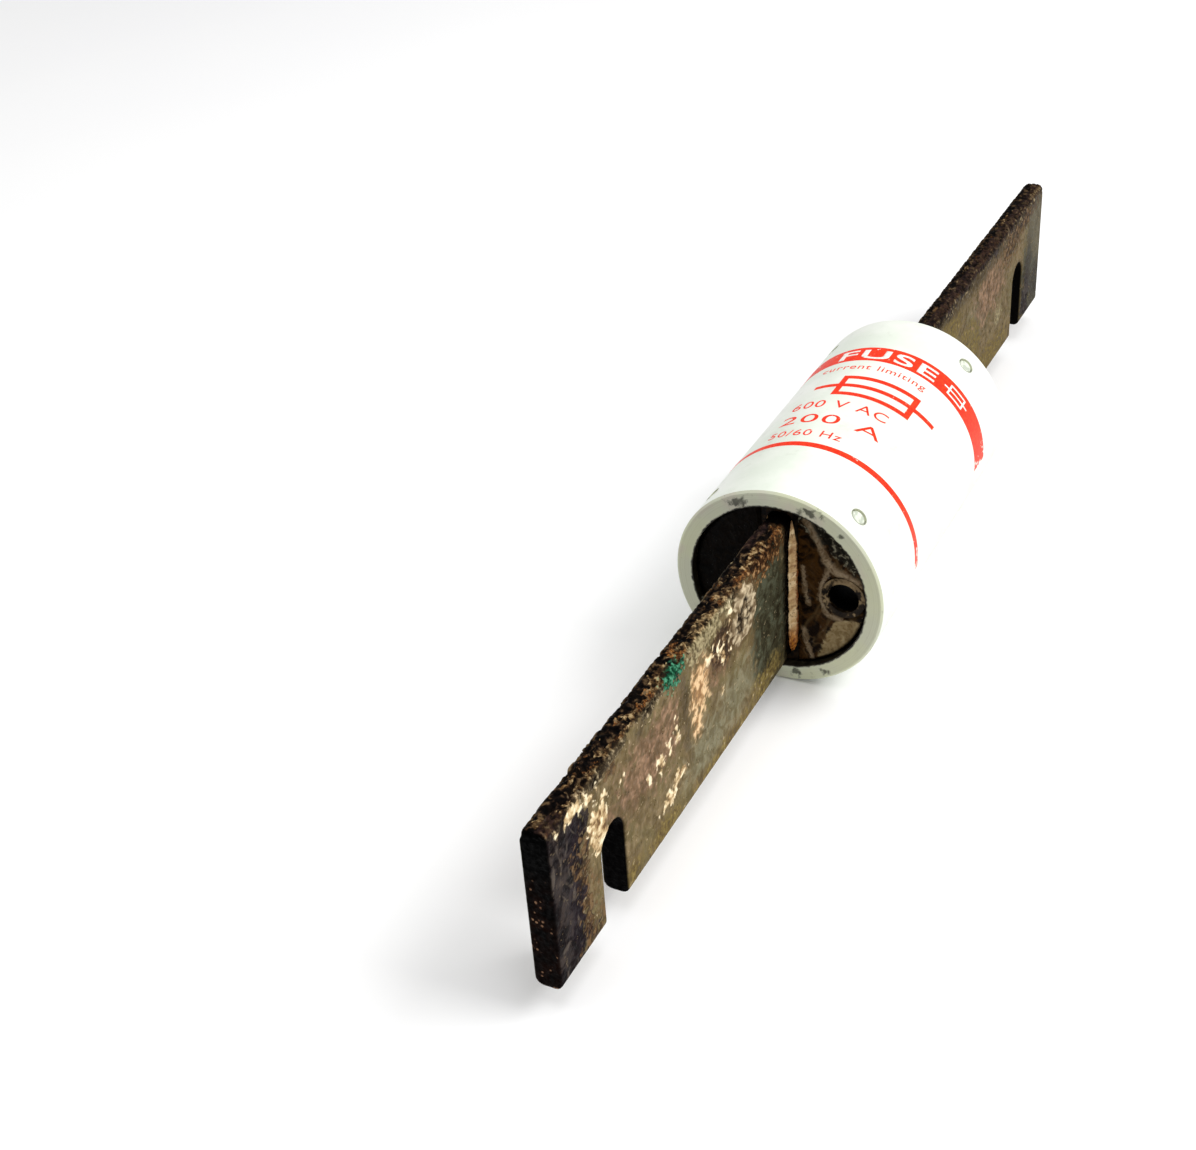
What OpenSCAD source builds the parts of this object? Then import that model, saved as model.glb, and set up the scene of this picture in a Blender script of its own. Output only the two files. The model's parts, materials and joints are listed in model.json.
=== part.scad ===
// Current-limiting cartridge fuse with slotted blade terminals.
//
// The tube lies along X with its middle at the origin. Both blades stand upright in the XZ plane
// and their stud slots open downwards, towards -Z. The left half is modelled and the right half
// is its mirror image. Units are millimetres.

/* [Tube] */
// Outside diameter of the insulating tube
tube_od = 41.3; // [32:0.1:60]
// Wall thickness of the tube
tube_wall = 3.3; // [2:0.1:5]
// Length of the tube
tube_len = 74.6; // [58:0.1:130]
// Chamfer round each mouth of the tube
mouth_chamfer = 0.4; // [0.1:0.1:1]

/* [Terminal blades] */
// Width of a blade, from one long edge to the other
blade_w = 31.8; // [20:0.1:42]
// Thickness of a blade
blade_t = 4.8; // [3:0.1:7]
// Length of a blade outside the tube
blade_reach = 92.9; // [50:0.1:140]
// Radius of the blade's long edges
edge_r = 1.6; // [0.4:0.1:2.4]
// Radius of the two corners at the blade's free end
end_corner_r = 0.5; // [0.2:0.1:4]
// Depth of the step, on every side, where a blade enters the tube
tongue_step = 0.1; // [0.05:0.05:0.4]

/* [Stud slots] */
// Width of the open stud slot in each blade
slot_w = 7.9; // [5:0.1:12]
// Depth of the stud slot, from the blade's lower edge to the top of its round end
slot_depth = 18.6; // [10:0.1:19]
// Distance from the blade's free end to the middle of the slot
slot_inset = 19.5; // [12:0.1:30]

/* [End blocks] */
// Thickness of an end block
block_t = 8.4; // [6:0.1:14]
// Depth of the block's outer face inside the mouth of the tube
block_recess = 1.6; // [0.6:0.1:6]
// Depth of the seat that the blade is brazed into
seat_depth = 5; // [3:0.1:5.4]
// Diameter of the sand filling hole
fill_hole_d = 6.9; // [4:0.1:8]
// Metal left between the filling hole and the block's rim
fill_hole_edge = 1.3; // [1:0.1:3]

/* [Fastening and sealing] */
// Diameter of a drive pin
pin_d = 3.2; // [2:0.1:4]
// Depth that a drive pin goes into the end block
pin_grip = 6; // [3:0.1:7]
// Distance that a drive pin's head lies below the tube's surface
pin_sink = 0.2; // [0:0.05:0.6]
// Height of the braze fillet on the end block's face, from the side of the blade
fillet_leg = 1.3; // [0.6:0.1:2]
// Reach of the braze fillet along the blade, from the end block's face
fillet_reach = 2.2; // [1:0.1:3]
// Thickness of the sealing varnish on an end block
varnish_t = 0.3; // [0.2:0.05:0.6]
// Thickness of the fibre sealing ring inside each end block
ring_t = 0.8; // [0.5:0.1:2]
// Radial width of the fibre sealing ring
ring_w = 2.5; // [1.5:0.1:4]

/* [Fuse elements] */
// Width of an element strip
element_w = 8; // [5:0.1:9]
// Thickness of an element strip
element_t = 0.25; // [0.15:0.05:0.5]
// Length of the foot that is welded to the end block
foot_len = 3.5; // [2:0.1:4]
// Rows of holes that narrow each element
hole_rows = 5; // [3:2:5]
// Distance between those rows
row_pitch = 8.5; // [6:0.1:9]
// Holes across each row
holes_per_row = 3; // [2:1:3]
// Diameter of those holes
hole_d = 1.7; // [1:0.1:1.8]

/* [Hidden] */
$fn = 96;

// Clearances
block_fit = 0.05;     // between an end block and the bore, all round
braze_gap = 0.05;     // between a blade and the walls of its seat
drill_run_out = 0.4;  // extra depth of a pin hole beyond the pin
sand_gap = 0.05;      // between the packed sand and what it surrounds
element_clear = 1.5;  // between an element and the sealing ring
shoulder_gap = 0.2;   // between the step on a blade and the mouth or the braze
cut = 1;              // how far a cutting tool runs past the surface it cuts

// Small sizes of single pieces
pins_per_end = 4;
first_pin_angle = 42;
element_count = 4;
first_element_angle = 45;
pin_chamfer = 0.3;
block_chamfer = 0.4;
seat_web = 1.2;       // least metal between the blade's seat and the block's rim
plug_depth = 3;       // from the block's outer face to the plug's floor
plug_wall = 0.4;
plug_rim_w = 0.8;     // of the rim that lies on the block's face
bead_r = 1;
bead_inset = 0.6;     // from each edge of the element

// Derived sizes
tube_r = tube_od / 2;
bore_r = tube_r - tube_wall;
mouth_x = tube_len / 2;                       // mouth of the tube
face_x = mouth_x - block_recess;              // outer face of an end block
inner_x = face_x - block_t;                   // inner face of an end block
pin_x = face_x - block_t / 2;
block_r = bore_r - block_fit;
tip_x = mouth_x + blade_reach;                // free end of a blade
seat_x = face_x - seat_depth;                 // bottom of a blade's seat
bar_r = min(edge_r, blade_t / 2 - 0.1);
seat_chord = 2 * sqrt(pow(block_r - seat_web, 2) - pow(blade_t / 2, 2));
tongue_w = min(blade_w - 2 * tongue_step, seat_chord);
tongue_t = blade_t - 2 * tongue_step;
flat_w = tongue_w - 2 * bar_r;                // flat part of a blade's side, where the braze sits
slot_top_z = slot_depth - blade_w / 2;
slot_x = tip_x - slot_inset;
fill_hole_y = block_r - fill_hole_edge - fill_hole_d / 2;
ring_bore_r = bore_r - ring_w;
element_r = sqrt(pow(ring_bore_r - element_clear, 2) - pow(element_w / 2, 2));
shoulder_x = max(mouth_x, face_x + fillet_reach) + shoulder_gap;
plug_rim_r = fill_hole_d / 2 + plug_rim_w;

// ---------------------------------------------------------------- shared shapes

// A disc along X between two places, with a chamfer at each end
module disc_x(x0, x1, r, chamfer = 0) {
    rotate([0, 90, 0])
        rotate_extrude()
            polygon([[0, x0], [r - chamfer, x0], [r, x0 + chamfer],
                     [r, x1 - chamfer], [r - chamfer, x1], [0, x1]]);
}

// A bar along X, on the X axis, with round long edges
module bar_x(x0, x1, width, thickness, radius) {
    translate([x0, 0, 0])
        rotate([90, 0, 90])
            linear_extrude(x1 - x0) {
                square([thickness, width - 2 * radius], center = true);
                square([thickness - 2 * radius, width], center = true);
                for (sy = [-1, 1], sz = [-1, 1])
                    translate([sy * (thickness / 2 - radius), sz * (width / 2 - radius)])
                        circle(radius);
            }
}

// A cylinder that points outwards from the X axis at an angle, from radius r0 to radius r1
module radial_pin(x, angle, r0, r1, d, chamfer = 0) {
    translate([x, 0, 0])
        rotate([angle - 90, 0, 0])
            rotate_extrude()
                polygon([[0, r0], [d / 2, r0], [d / 2, r1 - chamfer],
                         [d / 2 - chamfer, r1], [0, r1]]);
}

function pin_angle(i) = first_pin_angle + (i - 1) * 360 / pins_per_end;

module pin_holes(side) {
    for (i = [1:pins_per_end])
        radial_pin(side * pin_x, pin_angle(i), bore_r - pin_grip - drill_run_out,
                   tube_r + cut, pin_d);
}

// Places its children, which are drawn at the top of the bore, at one element's angle
module at_element(i) {
    rotate([first_element_angle - 90 + (i - 1) * 360 / element_count, 0, 0]) children();
}

// Draws its children on the left, or mirrored on the right
module on_side(side) {
    mirror([side > 0 ? 1 : 0, 0, 0]) children();
}

// ---------------------------------------------------------------- tube and blades

module fuse_tube() {
    color("ivory")
        difference() {
            disc_x(-mouth_x, mouth_x, tube_r, mouth_chamfer);
            disc_x(-mouth_x - cut, mouth_x + cut, bore_r);
            pin_holes(-1);
            pin_holes(1);
        }
}

// Cutting tool for the stud slot: a round end with straight sides below it
module stud_slot() {
    round_z = slot_top_z - slot_w / 2;
    foot_z = -blade_w / 2 - cut;
    depth_y = blade_t + 2 * cut;
    translate([-slot_x, 0, round_z]) {
        rotate([90, 0, 0])
            cylinder(d = slot_w, h = depth_y, center = true);
        translate([-slot_w / 2, -depth_y / 2, foot_z - round_z])
            cube([slot_w, depth_y, round_z - foot_z]);
    }
}

// Side view of the blade outside the tube, with round corners at its free end
module blade_outline() {
    corner = min(end_corner_r, blade_w / 4);
    rotate([90, 0, 0])
        linear_extrude(blade_t + 2 * cut, center = true) {
            translate([-tip_x + corner, -blade_w / 2 - cut])
                square([tip_x - corner, blade_w + 2 * cut]);
            translate([-tip_x, -blade_w / 2 + corner])
                square([corner + cut, blade_w - 2 * corner]);
            for (sz = [-1, 1])
                translate([-tip_x + corner, sz * (blade_w / 2 - corner)])
                    circle(corner);
        }
}

module blade() {
    color("rosybrown")
        difference() {
            union() {
                intersection() {
                    bar_x(-tip_x, -shoulder_x, blade_w, blade_t, bar_r);
                    blade_outline();
                }
                bar_x(-shoulder_x, -seat_x, tongue_w, tongue_t, bar_r);
            }
            stud_slot();
        }
}

// ---------------------------------------------------------------- end blocks

module end_block() {
    color("darkgoldenrod")
        difference() {
            disc_x(-face_x, -inner_x, block_r, block_chamfer);
            bar_x(-face_x - cut, -seat_x, tongue_w + 2 * braze_gap,
                  tongue_t + 2 * braze_gap, bar_r + braze_gap);
            translate([-face_x - cut, -fill_hole_y, 0])
                rotate([0, 90, 0])
                    cylinder(d = fill_hole_d, h = block_t + 2 * cut);
            pin_holes(-1);
        }
}

// A triangular bead of braze along each side of the blade
module braze_fillets() {
    color("tan")
        for (side = [-1, 1])
            mirror([0, side < 0 ? 1 : 0, 0])
                translate([-face_x, tongue_t / 2, 0])
                    linear_extrude(flat_w, center = true)
                        polygon([[0, 0], [-fillet_reach, 0], [0, fillet_leg]]);
}

module varnish_seal() {
    fillet_span = tongue_t + 2 * fillet_leg;
    color("saddlebrown")
        difference() {
            disc_x(-face_x - varnish_t, -face_x, block_r);
            bar_x(-face_x - cut, -face_x + cut, tongue_w, tongue_t, bar_r);
            translate([-face_x - cut, -fillet_span / 2, -flat_w / 2])
                cube([2 * cut, fillet_span, flat_w]);
            translate([-face_x - cut, -fill_hole_y, 0])
                rotate([0, 90, 0])
                    cylinder(r = plug_rim_r, h = 2 * cut);
        }
}

// A thin cup pressed into the filling hole, with a rim that lies on the block's face
module fill_plug() {
    hole_r = fill_hole_d / 2;
    color("gray")
        translate([-face_x, -fill_hole_y, 0])
            rotate([0, 90, 0])
                rotate_extrude()
                    polygon([[0, plug_depth], [hole_r - plug_wall, plug_depth],
                             [hole_r - plug_wall, -plug_wall], [plug_rim_r, -plug_wall],
                             [plug_rim_r, 0], [hole_r, 0],
                             [hole_r, plug_depth + plug_wall], [0, plug_depth + plug_wall]]);
}

module sealing_ring() {
    color("firebrick")
        difference() {
            disc_x(-inner_x, -inner_x + ring_t, bore_r);
            disc_x(-inner_x - cut, -inner_x + ring_t + cut, ring_bore_r);
        }
}

module drive_pin(side, i) {
    color("silver")
        radial_pin(side * pin_x, pin_angle(i), bore_r - pin_grip, tube_r - pin_sink,
                   pin_d, pin_chamfer);
}

// ---------------------------------------------------------------- inside the tube

// A strip between the two end blocks with a foot bent inwards at each end.
// Gap makes it thicker all round, for the space that it takes in the sand.
module element_strip(gap = 0) {
    width = element_w + 2 * gap;
    translate([-inner_x, -width / 2, element_r - gap])
        cube([2 * inner_x, width, element_t + 2 * gap]);
    for (side = [-1, 1])
        translate([side < 0 ? -inner_x : inner_x - element_t - gap, -width / 2,
                   element_r - foot_len - gap])
            cube([element_t + gap, width, foot_len + element_t + 2 * gap]);
}

module element_holes() {
    for (row = [1:hole_rows], hole = [1:holes_per_row])
        translate([(row - (hole_rows + 1) / 2) * row_pitch,
                   (hole - (holes_per_row + 1) / 2) * element_w / holes_per_row,
                   element_r - cut])
            cylinder(d = hole_d, h = element_t + 2 * cut);
}

module fuse_element(i) {
    if (i <= element_count)
        color("gainsboro")
            at_element(i)
                difference() {
                    element_strip();
                    element_holes();
                }
}

// A half-round bead of low-melting solder across the strip, between two rows of holes
module bead_shape(gap = 0) {
    width = element_w - 2 * bead_inset + 2 * gap;
    intersection() {
        translate([row_pitch / 2, 0, element_r + element_t])
            rotate([90, 0, 0])
                cylinder(r = bead_r + gap, h = width, center = true);
        translate([row_pitch / 2 - 2 * bead_r, -element_w, element_r + element_t])
            cube([4 * bead_r, 2 * element_w, 2 * bead_r]);
    }
}

module overload_bead(i) {
    if (i <= element_count)
        color("lightslategray")
            at_element(i)
                bead_shape();
}

module quartz_filler() {
    color("wheat")
        difference() {
            disc_x(-inner_x, inner_x, bore_r);
            for (side = [-1, 1])
                on_side(side)
                    sealing_ring();
            for (i = [1:element_count])
                at_element(i) {
                    element_strip(sand_gap);
                    bead_shape(sand_gap);
                }
        }
}

// ---------------------------------------------------------------- nodes

fuse_tube();
on_side(-1) blade();  // left_terminal_blade
on_side(1) blade();  // right_terminal_blade
on_side(-1) end_block();  // left_end_block
on_side(1) end_block();  // right_end_block
on_side(-1) braze_fillets();  // left_braze_fillets
on_side(1) braze_fillets();  // right_braze_fillets
on_side(-1) varnish_seal();  // left_varnish_seal
on_side(1) varnish_seal();  // right_varnish_seal
on_side(-1) fill_plug();  // left_fill_plug
on_side(1) fill_plug();  // right_fill_plug
on_side(-1) sealing_ring();  // left_sealing_ring
on_side(1) sealing_ring();  // right_sealing_ring
for (i = [1:pins_per_end]) {
    drive_pin(-1, i);
    drive_pin(1, i);
}
for (i = [1:4]) {
    fuse_element(i);
    overload_bead(i);
}
quartz_filler();
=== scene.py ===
"""Looks of a tubular cartridge fuse with slotted blade terminals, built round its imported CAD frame.

The frame has +X along the tube, from the left blade to the right blade, and +Z up. The photo shows the left
end and the -Y side. Shapes and textures are sized in millimetres, and MM turns them into Blender's metres.
Colours are display values, 0 to 255, which Look turns into the linear colours of a shader.
"""
import json
import math
from functools import reduce
from types import SimpleNamespace

import bmesh
import bpy
import numpy as np
from mathutils import Matrix, Vector, geometry, noise


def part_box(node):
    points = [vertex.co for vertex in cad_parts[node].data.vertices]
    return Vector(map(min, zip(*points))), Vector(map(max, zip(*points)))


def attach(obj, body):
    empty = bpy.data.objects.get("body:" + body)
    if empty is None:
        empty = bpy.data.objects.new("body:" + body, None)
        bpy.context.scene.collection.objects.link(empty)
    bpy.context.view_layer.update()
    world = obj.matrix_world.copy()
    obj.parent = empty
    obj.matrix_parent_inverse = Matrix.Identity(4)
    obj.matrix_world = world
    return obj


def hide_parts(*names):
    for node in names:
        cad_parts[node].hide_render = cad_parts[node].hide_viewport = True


MM = 0.001

noise.seed_set(7)  # noise_vector starts from the clock unless a seed is set

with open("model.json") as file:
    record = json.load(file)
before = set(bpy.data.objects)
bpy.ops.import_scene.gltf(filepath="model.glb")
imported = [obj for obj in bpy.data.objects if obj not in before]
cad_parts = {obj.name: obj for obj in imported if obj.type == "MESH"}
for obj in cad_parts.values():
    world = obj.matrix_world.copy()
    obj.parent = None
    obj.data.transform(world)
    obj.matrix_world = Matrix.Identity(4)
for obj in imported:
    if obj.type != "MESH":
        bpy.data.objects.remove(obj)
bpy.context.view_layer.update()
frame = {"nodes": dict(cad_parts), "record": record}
nodes = frame["nodes"]


def box_mm(node):
    """Lowest and highest corner of a CAD node, in millimetres."""
    low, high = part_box(node)
    return low / MM, high / MM


# Sizes read from the frame, in millimetres
TUBE_R = box_mm("fuse_tube")[1].z
TIP_X = box_mm("right_terminal_blade")[1].x
BLADE_T = 2 * box_mm("right_terminal_blade")[1].y
BLADE_W = 2 * box_mm("right_terminal_blade")[1].z
FACE_X = box_mm("right_end_block")[1].x
BLOCK_R = box_mm("right_end_block")[1].z
FILLET_TIP_X, FILLET_LEG, FILLET_Z = box_mm("right_braze_fillets")[1]
PLUG_LOW, PLUG_HIGH = box_mm("right_fill_plug")
PLUG_Y = (PLUG_LOW.y + PLUG_HIGH.y) / 2
PLUG_RIM_R = (PLUG_HIGH.y - PLUG_LOW.y) / 2
SLOT = next(mount for mount in frame["record"]["mounts"] if mount["name"] == "right_stud_slot")
SLOT_X = SLOT["pos_m"][0] / MM
SLOT_Z = SLOT["pos_m"][2] / MM
SLOT_R = SLOT["dims"]["r_mm"]
PIN_LOW, PIN_HIGH = box_mm("left_drive_pin_2")
PIN_X = (PIN_LOW.x + PIN_HIGH.x) / 2
PIN_R = (PIN_HIGH.x - PIN_LOW.x) / 2
FIRST_PIN_ANGLE = 42  # degrees round the tube from +Y, as in the part's source


# ---------------- colours and node helpers

NOISE_CONTRAST = 3.0  # a noise texture keeps close to its middle value, so this spreads it over 0 to 1


def linear(colour):
    """A display colour, 0 to 255 each, as the linear RGBA that a shader takes."""
    shares = [value / 255 for value in colour]
    return (*(c / 12.92 if c <= 0.04045 else ((c + 0.055) / 1.055) ** 2.4 for c in shares), 1.0)


class Look:
    """A procedural material: a Principled shader, and short calls that add the nodes in front of it."""

    def __init__(self, name, roughness=0.5, metallic=0.0):
        self.material = bpy.data.materials.new(name)
        self.material.use_nodes = True
        self.tree = self.material.node_tree
        self.shader = self.tree.nodes["Principled BSDF"]
        self.set(Roughness=roughness, Metallic=metallic)
        coordinates = self.add("ShaderNodeTexCoord").outputs["Object"]
        self.place = self.vector("SCALE", coordinates, scale=1 / MM)
        separate = self.add("ShaderNodeSeparateXYZ")
        self.link(self.place, separate.inputs[0])
        self.x, self.y, self.z = separate.outputs

    def add(self, kind):
        return self.tree.nodes.new(kind)

    def link(self, value, socket):
        """Joins a node's output or sets a constant. Three numbers on a colour socket are a display colour."""
        if isinstance(value, bpy.types.NodeSocket):
            self.tree.links.new(value, socket)
        elif socket.type == "RGBA" and len(value) == 3:
            socket.default_value = linear(value)
        else:
            socket.default_value = value

    def set(self, **inputs):
        """Sets the shader's own inputs. Their names have an underscore for each space."""
        for name, value in inputs.items():
            self.link(value, self.shader.inputs[name.replace("_", " ")])

    # numbers

    def math(self, operation, a, b=0.0, c=0.0):
        node = self.add("ShaderNodeMath")
        node.operation = operation
        for value, socket in zip((a, b, c), node.inputs):
            self.link(value, socket)
        return node.outputs[0]

    def times(self, a, b):
        return self.math("MULTIPLY", a, b)

    def plus(self, a, b):
        return self.math("ADD", a, b)

    def absolute(self, value):
        return self.math("ABSOLUTE", value)

    def least(self, values):
        return reduce(lambda a, b: self.math("MINIMUM", a, b), values)

    def most(self, values):
        return reduce(lambda a, b: self.math("MAXIMUM", a, b), values)

    def wobble(self, texture, amount):
        """A 0 to 1 texture as a number from -amount to amount."""
        return self.math("MULTIPLY_ADD", texture, 2 * amount, -amount)

    def span(self, value, low, high, first, last, kind="LINEAR"):
        """A number that goes from first to last while value goes from low to high."""
        node = self.add("ShaderNodeMapRange")
        node.interpolation_type = kind
        self.link(value, node.inputs["Value"])
        for name, number in (("From Min", low), ("From Max", high), ("To Min", first), ("To Max", last)):
            node.inputs[name].default_value = number
        return node.outputs["Result"]

    def step(self, value, low, high):
        """0 at low and 1 at high, with a smooth change between them. Low may be above high."""
        ends = (0.0, 1.0) if low < high else (1.0, 0.0)
        return self.span(value, min(low, high), max(low, high), *ends, "SMOOTHSTEP")

    def facing_x(self):
        """The X part of the direction that the surface faces."""
        parts = self.add("ShaderNodeSeparateXYZ")
        self.link(self.add("ShaderNodeNewGeometry").outputs["Normal"], parts.inputs[0])
        return parts.outputs[0]

    def attribute(self, name):
        node = self.add("ShaderNodeAttribute")
        node.attribute_name = name
        return node.outputs["Fac"]

    def ragged(self, field, breakup, amount, soft):
        """A mask whose edge is where a field in millimetres, moved by a 0 to 1 texture, passes zero."""
        return self.step(self.plus(field, self.wobble(breakup, amount)), -soft, soft)

    # places and textures

    def vector(self, operation, a, b=(0, 0, 0), scale=1.0):
        node = self.add("ShaderNodeVectorMath")
        node.operation = operation
        self.link(a, node.inputs[0])
        self.link(b, node.inputs[1])
        self.link(scale, node.inputs[3])
        gives_number = operation in ("LENGTH", "DISTANCE", "DOT_PRODUCT")
        return node.outputs["Value" if gives_number else "Vector"]

    def stretch(self, x, y, z, offset=(0, 0, 0)):
        """The place in millimetres, scaled along each axis and moved."""
        return self.vector("ADD", self.vector("MULTIPLY", self.place, (x, y, z)), offset)

    def from_axis(self):
        """Distance from the tube's axis, in millimetres."""
        return self.vector("LENGTH", self.stretch(0, 1, 1))

    def noise(self, scale, detail=3.0, roughness=0.55, place=None, distortion=0.0):
        node = self.add("ShaderNodeTexNoise")
        self.link(self.place if place is None else place, node.inputs["Vector"])
        self.link(scale, node.inputs["Scale"])
        self.link(detail, node.inputs["Detail"])
        self.link(roughness, node.inputs["Roughness"])
        self.link(distortion, node.inputs["Distortion"])
        return self.math("MULTIPLY_ADD", node.outputs["Fac"], NOISE_CONTRAST, 0.5 - NOISE_CONTRAST / 2)

    def cells(self, scale, place=None):
        """Distance from the nearest of many scattered points, as a share of their spacing."""
        node = self.add("ShaderNodeTexVoronoi")
        self.link(self.place if place is None else place, node.inputs["Vector"])
        self.link(scale, node.inputs["Scale"])
        return node.outputs["Distance"]

    # colours

    def mix(self, factor, a, b):
        node = self.add("ShaderNodeMix")
        node.data_type = "RGBA"
        self.link(factor, node.inputs["Factor"])
        self.link(a, node.inputs["A"])
        self.link(b, node.inputs["B"])
        return node.outputs["Result"]

    def over(self, colour, mask, strength, paint):
        """Paint over a colour, where a mask says and as strongly as strength says."""
        return self.mix(self.times(mask, strength), colour, paint)

    def ramp(self, factor, *stops):
        """A colour ramp; each stop is (position, red, green, blue)."""
        node = self.add("ShaderNodeValToRGB")
        self.link(factor, node.inputs[0])
        elements = node.color_ramp.elements
        while len(elements) < len(stops):
            elements.new(0.5)
        for element, (position, *colour) in zip(elements, stops):
            element.position = position
            element.color = linear(colour)
        return node.outputs["Color"]

    def bump(self, height, distance, strength):
        """Relief whose height texture spans 0 to 1 over distance millimetres."""
        node = self.add("ShaderNodeBump")
        node.inputs["Strength"].default_value = strength
        node.inputs["Distance"].default_value = distance * MM
        self.link(height, node.inputs["Height"])
        self.link(node.outputs["Normal"], self.shader.inputs["Normal"])


def wear(obj, look):
    obj.data.materials.clear()
    obj.data.materials.append(look.material)


# ---------------- mesh helpers

def new_object(name, data):
    obj = bpy.data.objects.new(name, data)
    bpy.context.scene.collection.objects.link(obj)
    return obj


def shade_smooth(mesh):
    mesh.polygons.foreach_set("use_smooth", [True] * len(mesh.polygons))


def mesh_of(bm, name):
    """A new mesh with the shape of bm, its faces turned outward."""
    bmesh.ops.recalc_face_normals(bm, faces=bm.faces)
    mesh = bpy.data.meshes.new(name)
    bm.to_mesh(mesh)
    bm.free()
    return mesh


def stand_in(obj, node):
    """Shows a piece instead of a CAD node: hangs it on the root body and hides the node."""
    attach(obj, "root")
    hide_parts(node)
    return obj


def smoothstep(low, high, value):
    """0 at low and 1 at high, with a smooth change between them."""
    t = np.clip((value - low) / (high - low), 0, 1)
    return t * t * (3 - 2 * t)


def end_sign(side):
    """Which way along X the end of the fuse on this side points."""
    return -1 if side == "left" else 1


# ---------------- terminal blades: shape

VOXEL = 0.32
FIELD_LIMIT = 8.0  # no patch is deeper than this, and a point outside every patch is this far out
BACK_LENGTH = 92   # the patches of the hidden face are those of the shown face, turned end for end over this

# Patches on a blade as (distance from the free end, height, half length, half height), in millimetres. The
# left blade's follow the photo. Both blades have a list for every kind, because each becomes an attribute.
LEFT_PATCHES = {
    "char": [(2, -3, 7.6, 24), (7.6, 9, 4.4, 4.6), (8.6, -12, 4, 2.5)],
    "violet": [(7.2, 8.6, 2.8, 3.2), (6.2, -6, 3, 7)],
    "veil": [(1.2, 5.5, 1.5, 4.4), (3.2, -1, 1.1, 7), (1.8, -11, 1.6, 3.5), (5.2, 11.4, 0.8, 2.4)],
    "gold": [(15.2, 4.8, 3.3, 4.2), (7.6, 14.2, 3.4, 1.2), (13.6, 12.4, 1.4, 0.8), (17.2, 9.4, 1.0, 0.8),
             (39.6, -8, 2.2, 1.1), (44, -6.2, 2.4, 1.3), (32.6, 0.9, 0.7, 0.6), (37, 0.6, 0.9, 1.6),
             (40.2, 1.7, 0.5, 1.0), (43.5, 2.6, 0.5, 2.4), (57.8, 9.2, 1.8, 0.9), (62.4, 6.2, 0.8, 1.9),
             (61.5, -1, 0.6, 0.5), (65.8, 9.4, 0.5, 2.2), (23.4, 8.6, 0.6, 0.5)],
    "orange": [(53.4, 5.6, 3.2, 5.2), (51.6, -0.6, 1.4, 2.4)],
    "pink": [(33, 4.4, 12.5, 6), (42.6, 6, 2.8, 5), (61, 6, 5, 4)],
    "straw": [(56, 14, 8.5, 2.4)],
    "steel": [(69, -6, 9, 4.6), (56, -8, 9, 4.5), (84.5, 6, 5.5, 8.5)],
    "slate": [(84, -1, 8.4, 18)],
    "olive": [(38, -13.2, 5, 2.2), (25.5, -13, 3, 2), (81, -12, 6.5, 2.6), (64, -14.4, 16, 1.4)],
    "brown": [(10.6, -9, 2.0, 6), (9.8, 2, 2.0, 4.4), (12.6, -13.4, 3, 1.8), (62.5, 8, 6, 4.6),
              (21, 12.4, 1.6, 1.2)],
    "verdigris": [(44.2, 14.5, 3.2, 2.0)],
    "blister": [(71.6, 8.5, 5.3, 5.5)],
    "rust": [(83, 14.6, 10, 3.4)],
    "shade": [(47.2, 6.4, 1.9, 6), (47.4, -0.8, 1.2, 3.4), (31.2, 12.6, 1.3, 1.4), (68, 14.4, 4, 1.6)],
}
RIGHT_PATCHES = {kind: [] for kind in LEFT_PATCHES} | {
    "char": [(46, 16.8, 60, 2.8), (11.6, -9, 3, 8)],
    "veil": [(4, 2, 9, 16)],
    "pink": [(43, 6, 11, 6.5)],
    "straw": [(34, -4.2, 2.4, 1.7)],
    "steel": [(4, 0, 9, 20), (54, 2, 6, 5)],
    "slate": [(84, 4, 7, 12), (11, -7, 5, 12), (3, -9, 6, 6)],
    "olive": [(58, -3, 9, 8), (44, -12, 16, 4), (73, 9, 8, 4)],
    "brown": [(26, 10, 7, 3.4), (17, 13, 12, 2.5)],
    "shade": [(44, 14, 44, 3.2)],
}


def patch_field(patches, along, height):
    """How deep each point lies inside the nearest patch, in millimetres, with less than 0 outside."""
    field = np.full(len(along), -FIELD_LIMIT)
    for middle, level, half_length, half_height in patches:
        away = np.hypot((along - middle) / half_length, (height - level) / half_height)
        field = np.maximum(field, (1 - away) * min(half_length, half_height))
    return np.minimum(field, FIELD_LIMIT)


def sampled(function, points):
    return np.array([function(Vector(p)) for p in points])


def cell_edge(place):
    """How much nearer the nearest scattered point is than the second, which is 0 on a line between cells."""
    nearest, second, *_ = noise.voronoi(place)[0]
    return second - nearest


def voxel_copy(name, node, voxel):
    """A copy of a CAD node, rebuilt as an even mesh that can take relief."""
    copy = new_object(name, nodes[node].data.copy())
    remesh = copy.modifiers.new("even_mesh", "REMESH")
    remesh.mode = "VOXEL"
    remesh.voxel_size = voxel * MM
    evaluated = copy.evaluated_get(bpy.context.evaluated_depsgraph_get())
    copy.data = bpy.data.meshes.new_from_object(evaluated)
    copy.data.name = name
    copy.modifiers.clear()
    return copy


def mesh_arrays(mesh):
    """The vertices in millimetres and their normals."""
    points = np.zeros(3 * len(mesh.vertices))
    normals = np.zeros(3 * len(mesh.vertices))
    mesh.vertices.foreach_get("co", points)
    mesh.vertices.foreach_get("normal", normals)
    return points.reshape(-1, 3) / MM, normals.reshape(-1, 3)


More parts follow.
